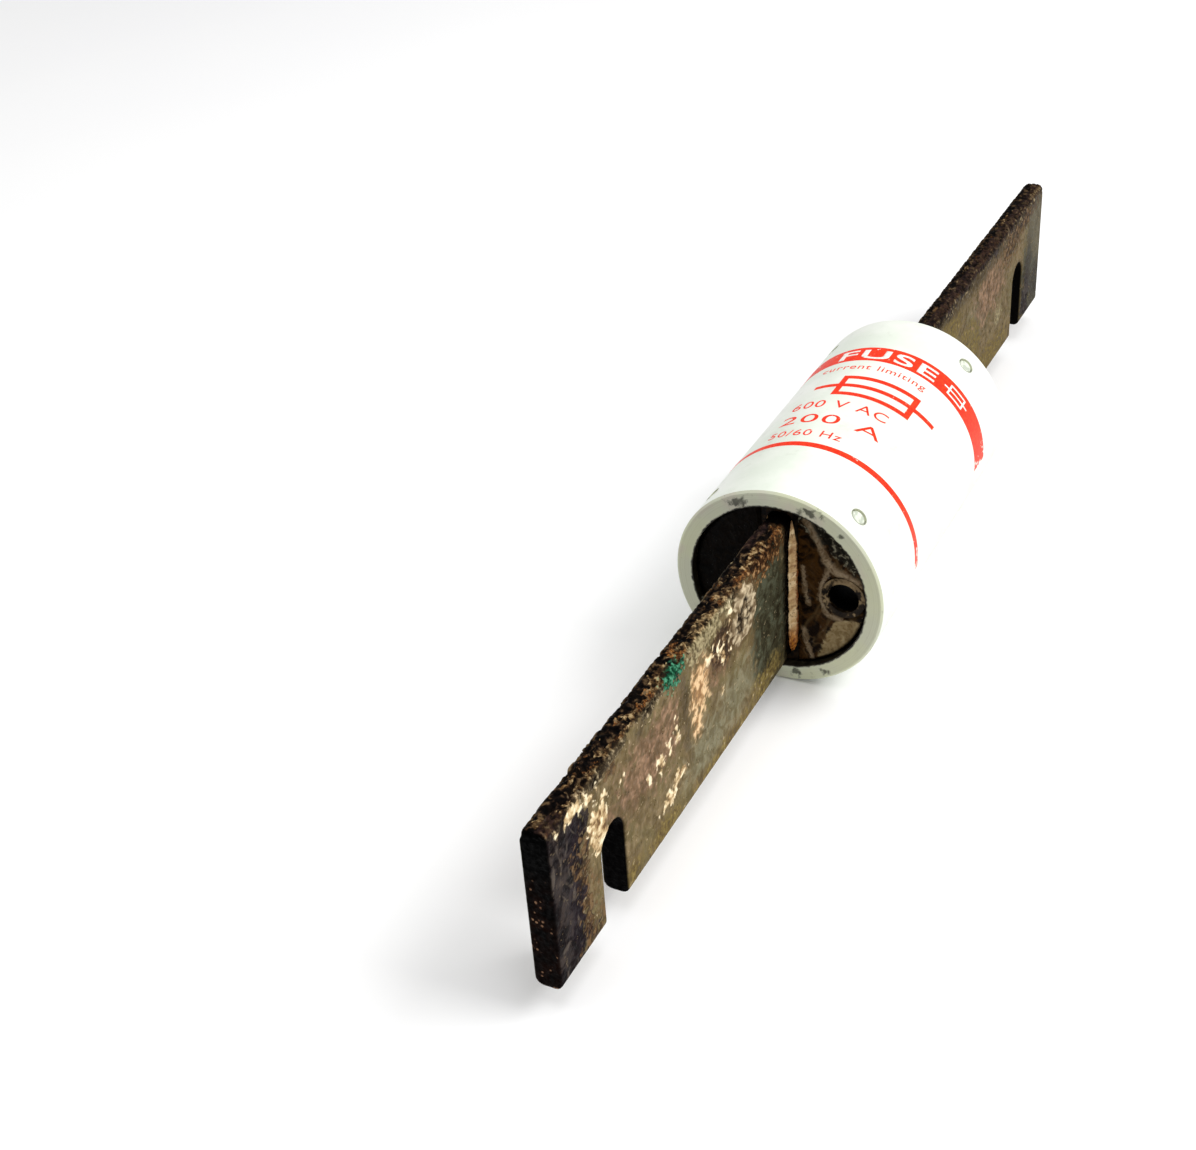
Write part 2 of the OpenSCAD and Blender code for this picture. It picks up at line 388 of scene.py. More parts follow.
def patch_fields(patches, points, shift):
    """The depth of every kind of patch at each point, with outlines that wander."""
    along = TIP_X - np.abs(points[:, 0])
    height = points[:, 2]
    is_back = points[:, 1] > 0
    drift = sampled(lambda p: noise.noise_vector(p * 0.3 + shift) + 0.6 * noise.noise_vector(p * 0.9 + shift),
                    points)
    along = np.where(is_back, BACK_LENGTH - along, along) + 1.3 * drift[:, 0]
    height = np.where(is_back, 0.8 * height - 1.5, height) + 1.0 * drift[:, 2]
    return {kind: patch_field(spots, along, height) for kind, spots in patches.items()}


def slot_wall(points):
    """1 on the walls of the stud slot, where shade is painted, and 0 on the blade's faces."""
    off_middle = np.abs(np.abs(points[:, 0]) - SLOT_X)
    wall = smoothstep(0.6, 0.2, off_middle - SLOT_R)
    wall *= smoothstep(SLOT_Z + SLOT_R + 0.6, SLOT_Z + SLOT_R, points[:, 2])
    return wall * smoothstep(BLADE_T / 2 + 0.02, BLADE_T / 2 - 0.3, np.abs(points[:, 1]))


def add_relief(points, fields, shift):
    """Relief of each point in millimetres. It adds to fields what the blade's look needs of it."""
    along, height = TIP_X - np.abs(points[:, 0]), points[:, 2]
    broad = sampled(lambda p: noise.fractal(p * 0.16 + shift, 0.8, 2.1, 4), points)
    grain = sampled(lambda p: noise.fractal(p * 0.8 + shift, 0.7, 2.2, 5), points)
    pits = sampled(lambda p: noise.voronoi(p * 0.75 + shift)[0][0], points)
    cell_edges = sampled(lambda p: cell_edge(p * 0.55 + shift), points)

    top = smoothstep(12.6, 15.2, height + 2.2 * broad)
    near_braze = smoothstep(3.4, 0.6, np.abs(points[:, 0]) - FILLET_TIP_X + 0.6 * grain)
    dome = smoothstep(-0.1, 0.7, fields["blister"] + 0.4 * grain)
    cracks = smoothstep(0.26, 0.08, cell_edges) * smoothstep(1.3, 2.3, fields["blister"])

    raised = 0.12 * smoothstep(-0.1, 0.9, fields["gold"] + 0.8 * grain)
    raised += 0.05 * smoothstep(0, 0.8, fields["rust"] + 1.2 * grain)
    raised += 0.38 * dome * (0.75 + 0.5 * grain) - 0.35 * dome * cracks
    eaten = top * (0.75 + 0.5 * grain) * (0.10 + 0.42 * smoothstep(0.62, 0.18, pits) + 0.12 * grain)
    eaten += 0.10 * smoothstep(0.22, 0.05, pits) + 0.03 * np.abs(grain)
    eaten += 0.12 * near_braze
    relief = raised - eaten
    # nothing stands proud of the free end, and the top edge is eaten back
    relief = np.where(along < 0.8, np.minimum(relief, 0.0), relief)
    on_edge = top * smoothstep(BLADE_W / 2 - 1.2, BLADE_W / 2 - 0.3, height)
    relief -= 0.18 * on_edge * (1 + grain)

    fields["crust"] = top
    fields["edge_scale"] = smoothstep(BLADE_W / 2 - 1.0, BLADE_W / 2 - 0.35, height)
    fields["sunk"] = np.clip(eaten / 0.45, 0, 1)
    fields["cracks"] = dome * cracks
    # black next to the braze joint, and painted shade on the walls of the stud slot
    fields["braze_black_and_slot_shade"] = np.maximum(near_braze, slot_wall(points))
    fields["end"] = smoothstep(0.5, 0.0, along)
    return relief


def corroded_blade(side, patches, seed):
    """The blade with real pits, scale and crusts, and one attribute for each kind of patch."""
    node = f"{side}_terminal_blade"
    blade = voxel_copy(f"{side}_blade_corroded", node, VOXEL)
    mesh = blade.data
    points, normals = mesh_arrays(mesh)
    shift = Vector((seed * 31.7, seed * 12.3, seed * 7.9))
    fields = patch_fields(patches, points, shift)
    moved = points + normals * add_relief(points, fields, shift)[:, None]
    mesh.vertices.foreach_set("co", (moved * MM).ravel())
    mesh.update()
    shade_smooth(mesh)
    for kind, values in fields.items():
        attribute = mesh.attributes.new(kind, "FLOAT", "POINT")
        attribute.data.foreach_set("value", np.asarray(values, np.float32))
    return stand_in(blade, node)


# ---------------- terminal blades: look

# Layers of paint as (kind of patch, noise that breaks its outline up, by how many millimetres, softness of
# the outline in millimetres, strength, noise that picks the colour, stops of the colour ramp)
STAIN_LAYERS = (
    ("steel", "cloud", 1.6, 3.0, 0.75, "cloud", (0.2, 110, 104, 79), (0.8, 131, 127, 102)),
    ("slate", "cloud", 1.8, 2.2, 0.92, "cloud", (0.1, 32, 30, 20), (0.5, 49, 48, 34), (0.9, 70, 73, 58)),
    ("olive", "cloud", 1.2, 1.2, 0.8, "fine", (0.1, 80, 62, 30), (0.55, 120, 102, 56), (0.95, 146, 128, 76)),
    ("pink", "cloud", 2.6, 2.0, 0.7, "lumps", (0.1, 95, 71, 53), (0.55, 132, 102, 80), (0.95, 168, 132, 106)),
    ("shade", "cloud", 0.8, 0.9, 0.8, "cloud", (0.0, 66, 54, 37), (1.0, 90, 78, 56)),
    ("orange", "lumps", 1.1, 1.4, 0.92, "lumps",
     (0.10, 146, 110, 74), (0.45, 186, 145, 100), (0.85, 242, 206, 160)),
    ("char", "cloud", 1.6, 0.6, 1.0, "cloud",
     (0.05, 14, 9, 10), (0.40, 23, 16, 17), (0.62, 33, 25, 24), (0.95, 56, 46, 41)),
    ("violet", "cloud", 1.2, 0.8, 0.9, "cloud", (0.0, 17, 11, 16), (1.0, 38, 29, 34)),
    ("brown", "lumps", 1.6, 0.8, 0.85, "lumps", (0.1, 30, 18, 12), (0.5, 60, 41, 26), (0.9, 118, 92, 62)),
    ("veil", "cloud", 1.2, 0.9, 0.45, "fine", (0.0, 40, 34, 34), (1.0, 86, 78, 73)),
)
SCALE_LAYERS = (
    ("rust", "fine", 1.6, 0.5, 0.9, "fine",
     (0.10, 12, 5, 3), (0.42, 52, 30, 15), (0.70, 92, 60, 32), (0.97, 156, 120, 80)),
    ("straw", "lumps", 1.4, 0.5, 0.9, "fine", (0.08, 80, 69, 46), (0.42, 134, 122, 90), (0.9, 178, 164, 127)),
    ("gold", "lumps", 0.8, 0.35, 1.0, "cream",
     (0.14, 104, 77, 48), (0.38, 168, 138, 97), (0.60, 214, 188, 144), (0.88, 252, 238, 202)),
)


def blade_noises(look, offset):
    """The textures that the layers of a blade share, moved by an offset so that the blades differ."""
    moved = look.stretch(1, 1, 1, (offset, offset, offset))
    fine = look.noise(1.1, 3, 0.55, moved, 0.1)
    lumps = look.noise(0.75, 2, 0.45, moved, 0.4)
    return SimpleNamespace(
        broad=look.noise(0.16, 2, 0.5, moved), cloud=look.noise(0.42, 3, 0.5, moved, 0.8),
        fine=fine, grit=look.noise(2.4, 2, 0.5, moved), lumps=lumps,
        cream=look.plus(look.times(lumps, 0.7), look.times(fine, 0.3)),
        veins=look.noise(0.36, 4, 0.6, look.stretch(1, 1, 0.5, (offset, 0, offset)), 1.8),
        wisps=look.noise(0.2, 3, 0.5, look.stretch(1, 1, 0.6, (offset, 0, 0)), 2.0),
        edge=look.noise(0.5, 3, 0.55, look.stretch(0.55, 1, 1, (offset, 0, 0)), 0.6),
        specks=look.cells(1.05, look.stretch(1, 1, 0.8, (offset, offset, 0))))


def bare_oxide(look, n):
    """The dull brown oxide of the whole blade, with olive clouds and pale and dark veins."""
    colour = look.ramp(n.cloud, (0.05, 92, 78, 52), (0.40, 107, 91, 62), (0.62, 117, 101, 71),
                       (0.95, 132, 114, 84))
    colour = look.over(colour, look.step(n.broad, 0.45, 0.9), 0.5, (112, 102, 68))
    colour = look.over(colour, look.step(n.veins, 0.66, 0.86), 0.3, (152, 130, 96))
    return look.over(colour, look.step(n.veins, 0.34, 0.14), 0.35, (86, 72, 48))


def patch_layers(look, n, colour, layers):
    for kind, breakup, amount, soft, strength, painted_by, *stops in layers:
        mask = look.ragged(look.attribute(kind), getattr(n, breakup), amount, soft)
        colour = look.over(colour, mask, strength, look.ramp(getattr(n, painted_by), *stops))
    return colour


def char_streaks(look, n, colour):
    """Thin pale wisps on the char."""
    char = look.ragged(look.attribute("char"), n.cloud, 1.6, 0.6)
    streaks = look.times(char, look.step(n.wisps, 0.68, 0.95))
    return look.over(colour, streaks, 0.45, (104, 94, 84))


def crust(look, n, colour):
    """The crust along the top of the faces, darker where it meets the char."""
    mask = look.ragged(look.wobble(look.attribute("crust"), 1.0), n.fine, 0.9, 0.25)
    colour = look.over(colour, mask, 0.9,
                       look.ramp(n.fine, (0.05, 12, 8, 6), (0.30, 36, 27, 19), (0.54, 70, 60, 44),
                                 (0.78, 102, 90, 70), (0.97, 164, 147, 116)))
    charred = look.times(mask, look.step(look.attribute("char"), -0.6, 0.8))
    return look.over(colour, charred, 0.8, look.mix(n.lumps, (16, 10, 12), (58, 42, 38)))


def blister(look, n, colour):
    """A pale ring of blistered scale with a darker middle, dark cracks and a dark line round it."""
    depth = look.attribute("blister")
    moat = look.times(look.step(depth, -1.3, -0.5), look.step(depth, 0.4, -0.1))
    colour = look.over(colour, moat, 0.6, (84, 66, 44))
    colour = look.mix(look.ragged(depth, n.lumps, 0.4, 0.25), colour,
                      look.ramp(n.lumps, (0.10, 112, 94, 70), (0.45, 152, 134, 106), (0.9, 200, 182, 150)))
    inner = look.times(look.step(depth, 1.6, 3.0), look.step(n.lumps, 0.7, 0.3))
    colour = look.over(colour, inner, 0.7, (92, 77, 57))
    return look.mix(look.attribute("cracks"), colour, (24, 15, 9))


def top_edge(look, n, colour, rust_strength):
    """The narrow top edge: brown scale, rust, a black scale on its far side, and char at the free end."""
    edge = look.attribute("edge_scale")
    colour = look.over(colour, edge, 0.85,
                       look.ramp(n.fine, (0.10, 8, 4, 3), (0.38, 48, 30, 17), (0.62, 96, 72, 43),
                                 (0.95, 172, 148, 108)))
    rusty = look.times(edge, look.step(n.broad, 0.55, 0.85))
    colour = look.over(colour, rusty, rust_strength,
                       look.ramp(n.grit, (0.2, 40, 20, 10), (0.6, 96, 56, 28), (0.9, 158, 104, 50)))
    far_side = look.plus(look.times(look.y, 0.42), look.wobble(n.edge, 0.75))
    black_scale = look.times(edge, look.step(far_side, -0.30, -0.14))
    colour = look.mix(black_scale, colour,
                      look.ramp(n.lumps, (0.30, 3, 2, 2), (0.55, 14, 9, 7), (0.74, 44, 31, 21),
                                (0.97, 88, 70, 48)))
    singed = look.times(look.step(look.attribute("char"), -0.4, 1.0), edge)
    return look.over(colour, singed, 0.8, look.mix(n.lumps, (14, 9, 10), (54, 38, 34)))


def verdigris(look, n, colour):
    """Green spots on the shown face and on the near half of the top edge."""
    green = look.ragged(look.attribute("verdigris"), n.fine, 1.0, 0.3)
    green = look.times(green, look.step(look.y, -0.4, -1.5))
    return look.mix(green, colour,
                    look.ramp(n.fine, (0.15, 4, 26, 16), (0.5, 18, 72, 48), (0.95, 84, 150, 118)))


def dark_places(look, n, colour):
    """Specks, deep pits, black next to the braze, and painted shade on the slot walls, which are also dark
    with oxide.
    """
    specks = look.times(look.step(n.specks, 0.15, 0.07), look.step(n.broad, 0.35, 0.6))
    colour = look.mix(specks, colour, (24, 16, 10))
    colour = look.over(colour, look.step(look.attribute("sunk"), 0.35, 0.9), 0.8, (14, 9, 6))
    # near-black next to the braze, and as painted shade on the slot walls
    return look.mix(look.attribute("braze_black_and_slot_shade"), colour, (1, 0, 0))


def free_end(look, n, colour):
    """The black face of the free end, with reddish specks on its lower part."""
    low_black = look.mix(n.cloud, (1, 0, 0), (18, 4, 1))
    black = look.mix(look.step(look.z, 9, 2), (0, 0, 0), low_black)
    specks = look.times(look.step(look.cells(1.1), 0.34, 0.16), look.step(look.z, 8, 3))
    specks = look.times(specks, look.step(n.cloud, 0.5, 0.65))
    face = look.mix(specks, black, look.mix(n.fine, (80, 44, 28), (160, 128, 100)))
    return look.mix(look.attribute("end"), colour, face)


def blade_look(side, offset, shadow_tone):
    look = Look(f"{side}_blade_oxide")
    n = blade_noises(look, offset)
    colour = patch_layers(look, n, bare_oxide(look, n), STAIN_LAYERS)
    colour = crust(look, n, char_streaks(look, n, colour))
    colour = blister(look, n, patch_layers(look, n, colour, SCALE_LAYERS))
    # the rust on the top edge is weaker on the blade that gets painted shade
    colour = top_edge(look, n, colour, 0.7 - 2 * shadow_tone)
    colour = verdigris(look, n, colour)
    colour = free_end(look, n, dark_places(look, n, colour))
    # painted shade: the far blade's colours are mixed toward dark grey by shadow_tone
    colour = look.mix(shadow_tone, colour, (20, 18, 16))
    look.set(Base_Color=colour, Specular_IOR_Level=0.02, Roughness=look.span(n.fine, 0.2, 0.9, 0.42, 0.82))
    look.bump(look.plus(look.times(n.fine, 0.6), look.times(n.grit, 0.4)), 0.12, 0.7)
    return look


# ---------------- tube

# Soft dirt on the rim at the tube's end, as (y, z, half width, half height) in millimetres
RIM_DIRT = ((-6.6, 17.6, 2.2, 0.9), (7.9, 17.0, 2.0, 0.9), (-3.6, -18.4, 0.9, 1.0), (-9.4, -16.7, 0.8, 0.6),
            (-12.5, 14.2, 0.5, 0.4))


def pin_gap(look):
    """1 in the thin gap round each pin, where painted shade goes. The pins lie on two axes across the tube,
    at right angles.
    """
    off_axes = []
    for turn in (math.radians(FIRST_PIN_ANGLE), math.radians(FIRST_PIN_ANGLE + 90)):
        off_axis = look.plus(look.times(look.y, -math.sin(turn)), look.times(look.z, math.cos(turn)))
        off_axes.append(look.absolute(off_axis))
    across = look.least(off_axes)
    along = look.math("SUBTRACT", look.absolute(look.x), abs(PIN_X))
    from_pin = look.math("SQRT", look.plus(look.times(across, across), look.times(along, along)))
    return look.step(from_pin, PIN_R + 0.26, PIN_R + 0.1)


def rim_dirt(look):
    breakup = look.noise(0.85, 3, 0.55, distortion=0.3)
    marks = []
    for y, z, half_width, half_height in RIM_DIRT:
        away = look.vector("LENGTH", look.stretch(0, 1 / half_width, 1 / half_height,
                                                  (0, -y / half_width, -z / half_height)))
        marks.append(look.ragged(look.math("SUBTRACT", 0.8, away), breakup, 0.8, 0.55))
    return look.most(marks)


def cut_rim(look, broad, grit):
    """The cut end of the laminate: rings of greenish cream, a rosy tint and dirt."""
    rings = look.add("ShaderNodeTexNoise")
    rings.noise_dimensions = "1D"
    look.link(look.from_axis(), rings.inputs["W"])
    look.link(3.2, rings.inputs["Scale"])
    look.link(4.0, rings.inputs["Detail"])
    rim = look.ramp(rings.outputs["Fac"], (0.3, 198, 200, 176), (0.55, 206, 209, 186), (0.75, 213, 215, 194))
    rim = look.over(rim, look.step(broad, 0.3, 0.8), 0.4, (214, 218, 176))
    rosy = look.step(look.noise(0.11, 2, 0.5, look.stretch(1, 1, 1, (9, 4, 7))), 0.5, 0.85)
    rim = look.over(rim, rosy, 0.5, (204, 194, 182))
    rim = look.over(rim, rim_dirt(look), 0.85, look.mix(grit, (12, 15, 10), (66, 70, 54)))
    return look.over(rim, look.step(grit, 0.85, 1.2), 0.3, (140, 138, 116))


def tube_look():
    """White outside, a cut rim at each end, and painted shade on the bore and the rim's inner edge."""
    look = Look("tube_laminate")
    broad = look.noise(0.05, 4, 0.6)
    weave = look.noise(2.4, 2, 0.5, look.stretch(1, 0.35, 0.35))
    grit = look.noise(0.8, 4, 0.6)
    outside = look.ramp(broad, (0.2, 224, 231, 218), (0.8, 238, 241, 232))
    outside = look.over(outside, look.step(look.noise(0.16, 6, 0.7), 0.70, 1.0), 0.12, (150, 150, 128))
    # painted shade in the thin gap round each pin
    gap = look.times(pin_gap(look), look.step(broad, -0.2, 0.6))
    outside = look.mix(gap, outside, (142, 146, 126))

    end_facing = look.step(look.absolute(look.facing_x()), 0.30, 0.62)
    colour = look.mix(end_facing, outside, cut_rim(look, broad, grit))
    # painted shade: the bore and the inner edge of the rim are painted dark
    inward = look.plus(look.from_axis(), look.times(grit, 0.3))
    colour = look.mix(look.step(inward, TUBE_R - 2.75, TUBE_R - 3.05), colour,
                      look.mix(grit, (8, 6, 4), (52, 47, 34)))
    look.set(Base_Color=colour, Roughness=look.span(end_facing, 0.0, 1.0, 0.34, 0.7))
    look.bump(look.plus(look.times(weave, 0.5), look.times(grit, 0.5)), 0.035, 0.5)
    return look


# ---------------- end faces: varnish

FILM_GRID = 0.45
FILM_T = 0.28
FILM_SINK = 0.03  # the film starts this far inside the block's face
FILM_R = BLOCK_R - 0.25
FILM_INNER_Y = FILLET_LEG + 0.02
HOLE_R = PLUG_RIM_R + 0.02
HOLE_HALF = -1    # the half of the film that the filling hole is in
# Runs of thicker, paler varnish as lines of (y, z) points and a half width, in millimetres
VARNISH_RUNS = (
    (((-5.3, 15.4), (-7.4, 11.4), (-9.4, 7.2), (-11.2, 5.2)), 0.62),
    (((-9.2, 7.4), (-10.6, 5.6), (-12.6, 5.0), (-15.8, 3.6)), 0.85),
    (((-9.6, 5.2), (-8.4, 2.2), (-8.1, -1.4), (-9.4, -4.4), (-12.0, -5.0)), 0.5),
    (((-4.7, -8.8), (-5.3, -12.0), (-6.6, -15.6)), 0.45),
    (((-4.6, 5.2), (-5.0, 0.4), (-5.6, -2.6)), 0.4),
)
# A thin, pale area where the varnish pulled back, as (y, z) corners
PALE_AREA = ((-16.4, -4.2), (-10.8, -5.4), (-9.0, -9.0), (-7.2, -15.0), (-11.5, -13.2), (-15.4, -9.0))


def distance_to_run(points, run):
    """Distance of each (y, z) from a line of points."""
    best = np.full(len(points), np.inf)
    for start, end in zip(run, run[1:]):
        start, end = np.array(start), np.array(end)
        t = np.clip(((points - start) @ (end - start)) / ((end - start) @ (end - start)), 0, 1)
        best = np.minimum(best, np.linalg.norm(points - start - t[:, None] * (end - start), axis=1))
    return best


def inward_edges(corners):
    """Each edge of a convex outline, as a corner and the direction that points inward."""
    middle = sum((Vector(corner) for corner in corners), Vector((0, 0))) / len(corners)
    for corner, following in zip(corners, corners[1:] + corners[:1]):
        edge = (Vector(following) - Vector(corner)).normalized()
        inward = Vector((-edge.y, edge.x))
        if inward.dot(middle - Vector(corner)) < 0:
            inward = -inward
        yield Vector(corner), inward


def depth_inside(points, corners):
    """How far inside a convex outline each (y, z) lies, in millimetres."""
    depths = [(points - np.array(corner)) @ np.array(inward) for corner, inward in inward_edges(corners)]
    return np.min(depths, axis=0)


def inside_film(half, y, z, hole_r=PLUG_RIM_R):
    """How far (y, z) lies inside one half of the film, in millimetres."""
    depth = np.minimum(FILM_R - np.hypot(y, z), half * y - FILM_INNER_Y)
    if half == HOLE_HALF:
        depth = np.minimum(depth, np.hypot(y - PLUG_Y, z) - hole_r)
    return depth


def film_plan(half):
    """One half of the film, between the blade and the bore, as flat (y, z) points and triangles."""
    start = math.asin(FILM_INNER_Y / FILM_R)
    arc = [start + (math.pi - 2 * start) * i / 90 for i in range(91)]
    lines = [[(half * FILM_R * math.sin(a), FILM_R * math.cos(a)) for a in arc]]
    if half == HOLE_HALF:
        circle = [2 * math.pi * i / 64 for i in range(64)]
        lines.append([(PLUG_Y + HOLE_R * math.cos(a), HOLE_R * math.sin(a)) for a in circle])
    points, edges = [], []
    for line in lines:
        first = len(points)
        points += [Vector(p) for p in line]
        edges += [(first + i, first + (i + 1) % len(line)) for i in range(len(line))]
    rows = int(2 * FILM_R / FILM_GRID)
    for i in range(rows):
        for j in range(rows):
            y = -FILM_R + (i + 0.5 * (j % 2)) * FILM_GRID
            z = -FILM_R + j * FILM_GRID
            if inside_film(half, y, z, PLUG_RIM_R + 0.05) > 0.25:
                points.append(Vector((y, z)))
    flat, _, triangles, *_ = geometry.delaunay_2d_cdt(points, edges, [], 0, 1e-6)
    flat = np.array([tuple(p) for p in flat])
    middles = [flat[list(triangle)].mean(axis=0) for triangle in triangles]
    kept = [t for t, (y, z) in zip(triangles, middles) if inside_film(half, y, z, PLUG_RIM_R + 0.01) > 0]
    return flat, kept


def film_thickness(flat, half, seed):
    """Thin at the film's rim and in the pale area, thick along the runs, and a little uneven everywhere."""
    thick = FILM_T * (0.35 + 0.65 * smoothstep(0, 0.8, inside_film(half, flat[:, 0], flat[:, 1])))
    for run, half_width in VARNISH_RUNS:
        thick += 0.16 * smoothstep(1.7 * half_width, 0.2 * half_width, distance_to_run(flat, run))
    thick -= 0.12 * smoothstep(0.0, 0.6, depth_inside(flat, PALE_AREA))
    swirl = [noise.fractal(Vector((y * 0.35, z * 0.35, seed)), 0.8, 2.1, 4) for y, z in flat]
    return np.maximum(thick + 0.10 * np.array(swirl), 0.05)


def film_half(bm, sign, half, seed):
    """One half of the film as a closed skin with real relief."""
    flat, triangles = film_plan(half)
    thick = film_thickness(flat, half, seed)
    front = [bm.verts.new((sign * (FACE_X + t) * MM, y * MM, z * MM)) for (y, z), t in zip(flat, thick)]
    back = [bm.verts.new((sign * (FACE_X - FILM_SINK) * MM, y * MM, z * MM)) for y, z in flat]
    used = {}
    for a, b, c in triangles:
        bm.faces.new((front[a], front[b], front[c]))
        bm.faces.new((back[c], back[b], back[a]))
        used.update({(a, b): True, (b, c): True, (c, a): True})
    for a, b in used:
        if (b, a) not in used:
            bm.faces.new((front[b], front[a], back[a], back[b]))
    for vertex in [v for v in bm.verts if not v.link_faces]:
        bm.verts.remove(vertex)


def varnish(side, seed):
    bm = bmesh.new()
    for half in (-1, 1):
        film_half(bm, end_sign(side), half, seed + half)
    name = f"{side}_varnish_film"
    mesh = mesh_of(bm, name)
    shade_smooth(mesh)
    return stand_in(new_object(name, mesh), f"{side}_varnish_seal")


def run_distance(look, run):
    """Node version of distance_to_run, for the shaded point."""
    flat = look.stretch(0, 1, 1)
    distances = []
    for start, end in zip(run, run[1:]):
        edge = Vector((0, *end)) - Vector((0, *start))
        from_start = look.vector("SUBTRACT", flat, (0, *start))
        share = look.vector("DOT_PRODUCT", from_start, tuple(edge / edge.length_squared))
        nearest = look.vector("SCALE", tuple(edge), scale=look.span(share, 0.0, 1.0, 0.0, 1.0))
        distances.append(look.vector("DISTANCE", from_start, nearest))
    return look.least(distances)


def pale_depth(look):
    """Node version of depth_inside for the pale area."""
    depths = []
    for corner, inward in inward_edges(PALE_AREA):
        reach = look.plus(look.times(look.y, inward.x), look.times(look.z, inward.y))
        depths.append(look.math("SUBTRACT", reach, inward.dot(corner)))
    return look.least(depths)


def varnish_look():
    """Mottled brown varnish with paler runs and a pale area, with painted shade behind the blade, along the
    edge and as the rim's shadow at the upper right.
    """
    look = Look("sealing_varnish")
    broad = look.noise(0.22, 3, 0.5, distortion=1.2)
    fine = look.noise(0.9, 4, 0.6, distortion=0.5)
    swirl = look.noise(0.08, 2, 0.45, distortion=1.4)
    wander = look.wobble(fine, 0.45)
    colour = look.ramp(broad, (0.05, 6, 3, 1), (0.32, 28, 16, 6), (0.60, 60, 38, 14), (0.95, 18, 9, 4))
    colour = look.over(colour, look.step(fine, 0.6, 1.0), 0.25, (70, 50, 26))
    line = look.step(look.absolute(look.math("SUBTRACT", swirl, 0.5)), 0.10, 0.0)
    colour = look.over(colour, line, 0.4, (98, 78, 50))
    # painted shade: the +Y half of the film, behind the blade, is nearly black
    colour = look.over(colour, look.step(look.y, 0.0, 3.0), 0.95, (2, 1, 0))
    # painted shadow of the tube's rim, flecked with grey, along the film's upper right edge
    toward_top = look.plus(look.times(look.y, -0.62), look.times(look.z, 0.78))
    rim_shadow = look.step(look.plus(toward_top, fine), 13.6, 14.8)
    rim_shadow_colour = look.ramp(fine, (0.3, 20, 18, 14), (0.62, 42, 39, 31), (0.9, 120, 116, 98))
    colour = look.mix(rim_shadow, colour, rim_shadow_colour)
    for run, half_width in VARNISH_RUNS:
        mask = look.step(look.plus(run_distance(look, run), wander), 1.6 * half_width, 0.5 * half_width)
        colour = look.over(colour, mask, 0.8, look.ramp(fine, (0.1, 98, 80, 58), (0.9, 158, 140, 114)))
    pale = look.step(look.plus(pale_depth(look), look.times(wander, 0.6)), -0.1, 0.5)
    colour = look.over(colour, pale, 0.94, look.ramp(fine, (0.1, 124, 104, 70), (0.9, 164, 145, 108)))
    # painted shade round the edge of the film, where it meets the tube's wall
    colour = look.mix(look.step(look.from_axis(), BLOCK_R - 1.1, BLOCK_R - 0.4), colour, (5, 3, 2))
    wet = look.times(look.step(fine, 0.85, 1.15), look.step(look.y, 0.0, -3.0))
    look.set(Base_Color=colour, Specular_IOR_Level=0.03, Coat_Roughness=0.15, Coat_Weight=wet,
             Roughness=look.span(fine, 0.2, 0.85, 0.25, 0.6))
    look.bump(look.plus(look.times(fine, 0.6), look.times(line, 0.3)), 0.12, 0.8)
    return look


# ---------------- end faces: braze

BEAD_STATIONS = 120
BEAD_PROFILE = 8
BEAD_OVERLAP = 0.02  # how far a bead starts inside the block and the blade


def bead_ring(sign, half, share, seed):
    """One cross-section of a bead, at a share of its length from the bottom."""
    root_y = BLADE_T / 2 - 0.1
    half_length = FILLET_Z + 0.3
    z = -half_length + 2 * half_length * share
    end_taper = min(1.0, 4.5 * (1 - share) + 0.15, 9 * share + 0.3)
    lump = 0.92 + 0.22 * noise.fractal(Vector((z * 0.5, seed, half)), 0.8, 2.0, 5)
    size = end_taper * min(lump, 1.15)
    reach = 0.9 * (FILLET_TIP_X - FACE_X) * size
    leg = (FILLET_LEG - root_y) * size
    ring = [(sign * (FACE_X - BEAD_OVERLAP), half * (root_y - BEAD_OVERLAP), z)]
    for j in range(BEAD_PROFILE + 1):
        angle = math.pi / 2 * j / BEAD_PROFILE
        hollow = 0.80 + 0.06 * noise.noise(Vector((z * 1.1, j * 0.7, seed)))
        out = reach * (1 - hollow * math.sin(angle)) if j < BEAD_PROFILE else 0.0
        away = leg * (1 - hollow * math.cos(angle)) if j else 0.0
        ring.append((sign * (FACE_X + out), half * (root_y + away), z))
    return ring


def braze_beads(side, seed):
    """Two uneven, hollow beads of braze, one on each side of the blade."""
    bm = bmesh.new()
    for half in (-1, 1):
        rings = [[bm.verts.new([c * MM for c in corner])
                  for corner in bead_ring(end_sign(side), half, i / BEAD_STATIONS, seed)]
                 for i in range(BEAD_STATIONS + 1)]
        for ring, following in zip(rings, rings[1:]):
            for j, corner in enumerate(ring):
                beside = (j + 1) % len(ring)
                bm.faces.new((corner, ring[beside], following[beside], following[j]))
        bm.faces.new(rings[0])
        bm.faces.new(reversed(rings[-1]))
    name = f"{side}_braze_beads"
    mesh = mesh_of(bm, name)
    shade_smooth(mesh)
    return stand_in(new_object(name, mesh), f"{side}_braze_fillets")


